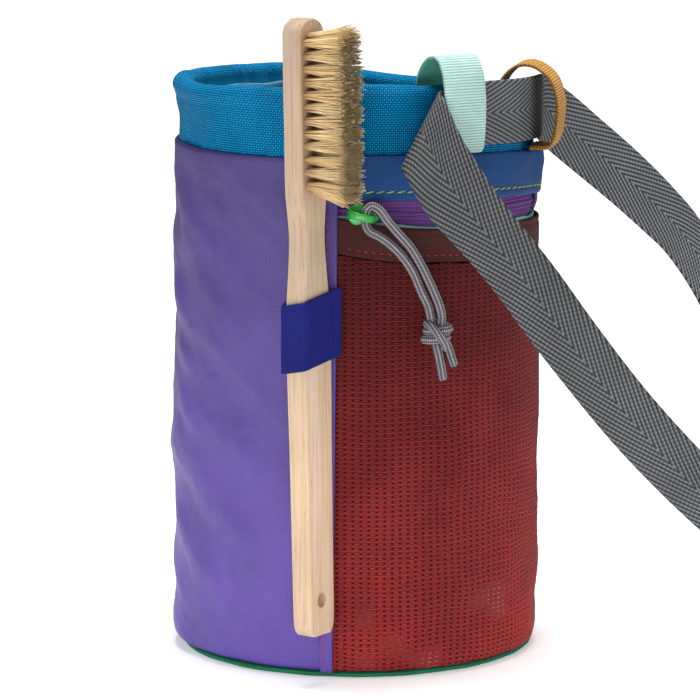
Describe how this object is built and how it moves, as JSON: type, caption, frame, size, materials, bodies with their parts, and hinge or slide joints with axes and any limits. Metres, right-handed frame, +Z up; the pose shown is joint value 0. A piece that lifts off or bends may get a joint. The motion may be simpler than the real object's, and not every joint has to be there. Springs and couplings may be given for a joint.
{
  "type": "climbing chalk bag",
  "caption": "Round cloth climbing chalk bag with a stiff rolled rim, zipped mesh pocket, waist belt through webbing loops, and a wooden brush held in an elastic loop.",
  "frame": {"origin": "centre of the bag's base, on the floor it stands on", "axes": "+Z up through the mouth, -Y towards the front with the zip slider and the brush, +X towards the belt and its buckle"},
  "size_m": [0.3436, 0.1582, 0.2054],
  "materials": {
    "base_cloth": "woven nylon, matt",
    "body_cloth": "coated oxford nylon, low sheen",
    "mesh": "knitted mesh, matt",
    "hem_cloth": "folded mesh hem, matt",
    "band_cloth": "coated oxford nylon, low sheen",
    "zip_tape": "woven zip tape and nylon coil",
    "pocket_lining": "thin woven lining, matt",
    "lining": "soft woven lining, matt",
    "collar_cloth": "heavy basket-weave nylon, satin",
    "slider": "gloss enamel",
    "cord": "braided cord with light flecks",
    "bamboo": "bare bamboo, matt",
    "bristle": "stiff natural bristle",
    "elastic": "ribbed elastic webbing",
    "mint_webbing": "ribbed webbing, matt",
    "mustard_webbing": "ribbed webbing, matt",
    "belt_webbing": "woven nylon webbing, low sheen",
    "buckle": "moulded, satin"
  },
  "bodies": {
    "bag": {"base_panel": "base_cloth", "body_panel": "body_cloth", "mesh_pocket": "mesh", "hem_band": "hem_cloth", "pocket_band": "band_cloth", "lining_edge": "pocket_lining", "zip_tape": "zip_tape", "pocket_lining": "pocket_lining", "seam_flap": "body_cloth", "lining": "lining", "collar": "collar_cloth", "zip_slider": "slider", "cord_upper": "cord", "cord_lower": "cord", "cord_tail_left": "cord", "cord_tail_right": "cord", "zip_knot": "cord", "elastic_loop": "elastic", "mint_loop": "mint_webbing", "mustard_loop": "mustard_webbing", "belt": "belt_webbing", "belt_buckle": "buckle"},
    "brush": {"brush_handle": "bamboo", "brush_bristles": "bristle"}
  },
  "joints": [
    {"name": "brush_slide", "type": "slide", "parent": "bag", "child": "brush", "axis": [-0.0166, 0, 0.9999], "range_m": [0, 0.08]}
  ]
}
